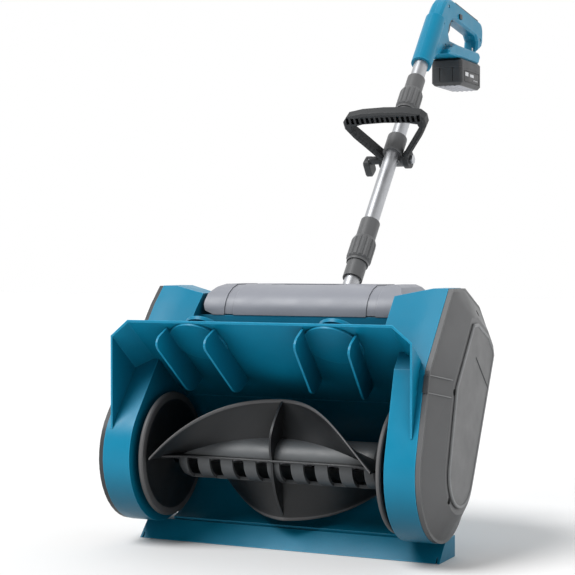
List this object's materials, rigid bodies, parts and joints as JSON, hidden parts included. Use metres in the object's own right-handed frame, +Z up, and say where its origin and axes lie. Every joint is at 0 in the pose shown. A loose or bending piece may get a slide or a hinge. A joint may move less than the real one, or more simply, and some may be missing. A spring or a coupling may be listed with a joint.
{
  "type": "cordless snow shovel",
  "caption": "Cordless snow shovel with a wide powered auger head, steerable deflectors, a jointed pole, an auxiliary loop handle and a slide-on battery.",
  "frame": {"origin": "middle of the flat underside of the scraper base", "axes": "+Z up, +X to the right of someone facing the scoop's mouth, so the mouth faces -Y and the pole rises towards +Y"},
  "size_m": [0.565, 1.03, 0.935],
  "materials": {
    "blue_shell": "satin moulded plastic",
    "dark_shell": "fine moulded texture",
    "mid_grey_shell": "fine moulded texture",
    "pale_grey_shell": "fine moulded texture",
    "auger_black": "satin",
    "grip_rubber": "matte",
    "pole_aluminium": "drawn and polished",
    "steel": "brushed",
    "contact_metal": "satin",
    "circuit_board": "satin",
    "cell_wrap": "gloss"
  },
  "bodies": {
    "tool": {"scraper_base": "blue_shell", "hood_shell": "blue_shell", "auger_trough": "blue_shell", "side_housing_right": "blue_shell", "side_housing_left": "blue_shell", "drive_cover_right": "mid_grey_shell", "side_cover_left": "dark_shell", "cover_screw_right_1": "steel", "cover_screw_right_2": "steel", "cover_screw_right_3": "steel", "cover_screw_left_1": "steel", "cover_screw_left_2": "steel", "cover_screw_left_3": "steel", "motor_bay": "blue_shell", "top_cover": "pale_grey_shell", "pole_socket": "dark_shell", "motor": "steel", "drive_belt": "grip_rubber", "belt_tensioner": "dark_shell", "motor_controller": "circuit_board", "bearing_right": "steel", "bearing_left": "steel", "lower_tube": "pole_aluminium", "lower_coupling_sleeve": "mid_grey_shell", "lower_coupling_ring": "mid_grey_shell", "main_tube_sleeve": "mid_grey_shell", "main_tube": "pole_aluminium", "upper_coupling_sleeve": "mid_grey_shell", "handle_tube_sleeve": "mid_grey_shell", "handle_tube": "pole_aluminium", "clamp_collar": "mid_grey_shell", "handle_shell_right": "blue_shell", "handle_shell_left": "blue_shell", "grip_overmould": "grip_rubber", "trigger_switch": "dark_shell", "terminal_block": "contact_metal"},
    "auger": {"auger_axle": "steel", "axle_pulley": "auger_black", "auger_disc_right": "auger_black", "auger_disc_left": "auger_black", "auger_drum": "auger_black", "auger_blade_a": "auger_black", "auger_blade_b": "auger_black"},
    "motor_rotor": {"motor_shaft": "steel", "motor_pulley": "steel"},
    "deflector_left_turn": {"deflector_left": "blue_shell", "deflector_dial_left": "blue_shell"},
    "deflector_right_turn": {"deflector_right": "blue_shell", "deflector_dial_right": "blue_shell"},
    "lower_nut": {"lower_coupling_nut": "mid_grey_shell"},
    "upper_nut": {"upper_coupling_nut": "mid_grey_shell"},
    "loop": {"aux_handle": "dark_shell", "clamp_bolt": "steel"},
    "knob": {"clamp_knob": "dark_shell"},
    "trigger_lever": {"trigger": "dark_shell"},
    "lock_off": {"lock_off_button": "dark_shell"},
    "battery": {"battery_lower_case": "dark_shell", "battery_upper_case": "dark_shell", "battery_cells": "cell_wrap"},
    "release": {"battery_release_button": "blue_shell"}
  },
  "joints": [
    {"name": "auger_spin", "type": "hinge", "parent": "tool", "child": "auger", "pos_m": [0, -0.034, 0.136], "axis": [1, 0, 0], "continuous": true},
    {"name": "motor_spin", "type": "hinge", "parent": "tool", "child": "motor_rotor", "pos_m": [0.2, 0.116, 0.285], "axis": [1, 0, 0], "continuous": true},
    {"name": "deflector_left_yaw", "type": "hinge", "parent": "tool", "child": "deflector_left_turn", "pos_m": [-0.11, -0.0915, 0.3182], "axis": [0, 0.6018, 0.7986], "range_deg": [-30, 30]},
    {"name": "deflector_right_yaw", "type": "hinge", "parent": "tool", "child": "deflector_right_turn", "pos_m": [0.11, -0.0915, 0.3182], "axis": [0, 0.6018, 0.7986], "range_deg": [-38, 22]},
    {"name": "lower_nut_turn", "type": "hinge", "parent": "tool", "child": "lower_nut", "pos_m": [0, 0.272, 0.4517], "axis": [0, 0.6361, 0.7716], "range_deg": [0, 150]},
    {"name": "upper_nut_turn", "type": "hinge", "parent": "tool", "child": "upper_nut", "pos_m": [0, 0.4945, 0.7218], "axis": [0, 0.6361, 0.7716], "range_deg": [0, 150]},
    {"name": "aux_handle_tilt", "type": "hinge", "parent": "tool", "child": "loop", "pos_m": [0, 0.42966, 0.61326], "axis": [1, 0, 0], "range_deg": [-35, 45]},
    {"name": "clamp_knob_turn", "type": "hinge", "parent": "loop", "child": "knob", "pos_m": [-0.044, 0.42966, 0.61326], "axis": [-1, 0, 0], "range_deg": [-180, 0]},
    {"name": "trigger_pull", "type": "hinge", "parent": "tool", "child": "trigger_lever", "pos_m": [0, 0.677, 0.902], "axis": [1, 0, 0], "range_deg": [0, 8], "stiffness_Nm_per_rad": 0.6, "springref_deg": -5.73},
    {"name": "lock_off_press", "type": "slide", "parent": "tool", "child": "lock_off", "axis": [-1, 0, 0], "range_m": [0, 0.0025], "stiffness_N_per_m": 400, "springref_m": -0.001},
    {"name": "battery_slide", "type": "slide", "parent": "tool", "child": "battery", "axis": [0, 1, 0], "range_m": [0, 0.11]},
    {"name": "battery_release_press", "type": "slide", "parent": "battery", "child": "release", "axis": [0, 0, -1], "range_m": [0, 0.003], "stiffness_N_per_m": 400, "springref_m": -0.001}
  ],
  "couplings": [
    {"joint": "motor_spin", "follows": "auger_spin", "ratio": 4}
  ]
}
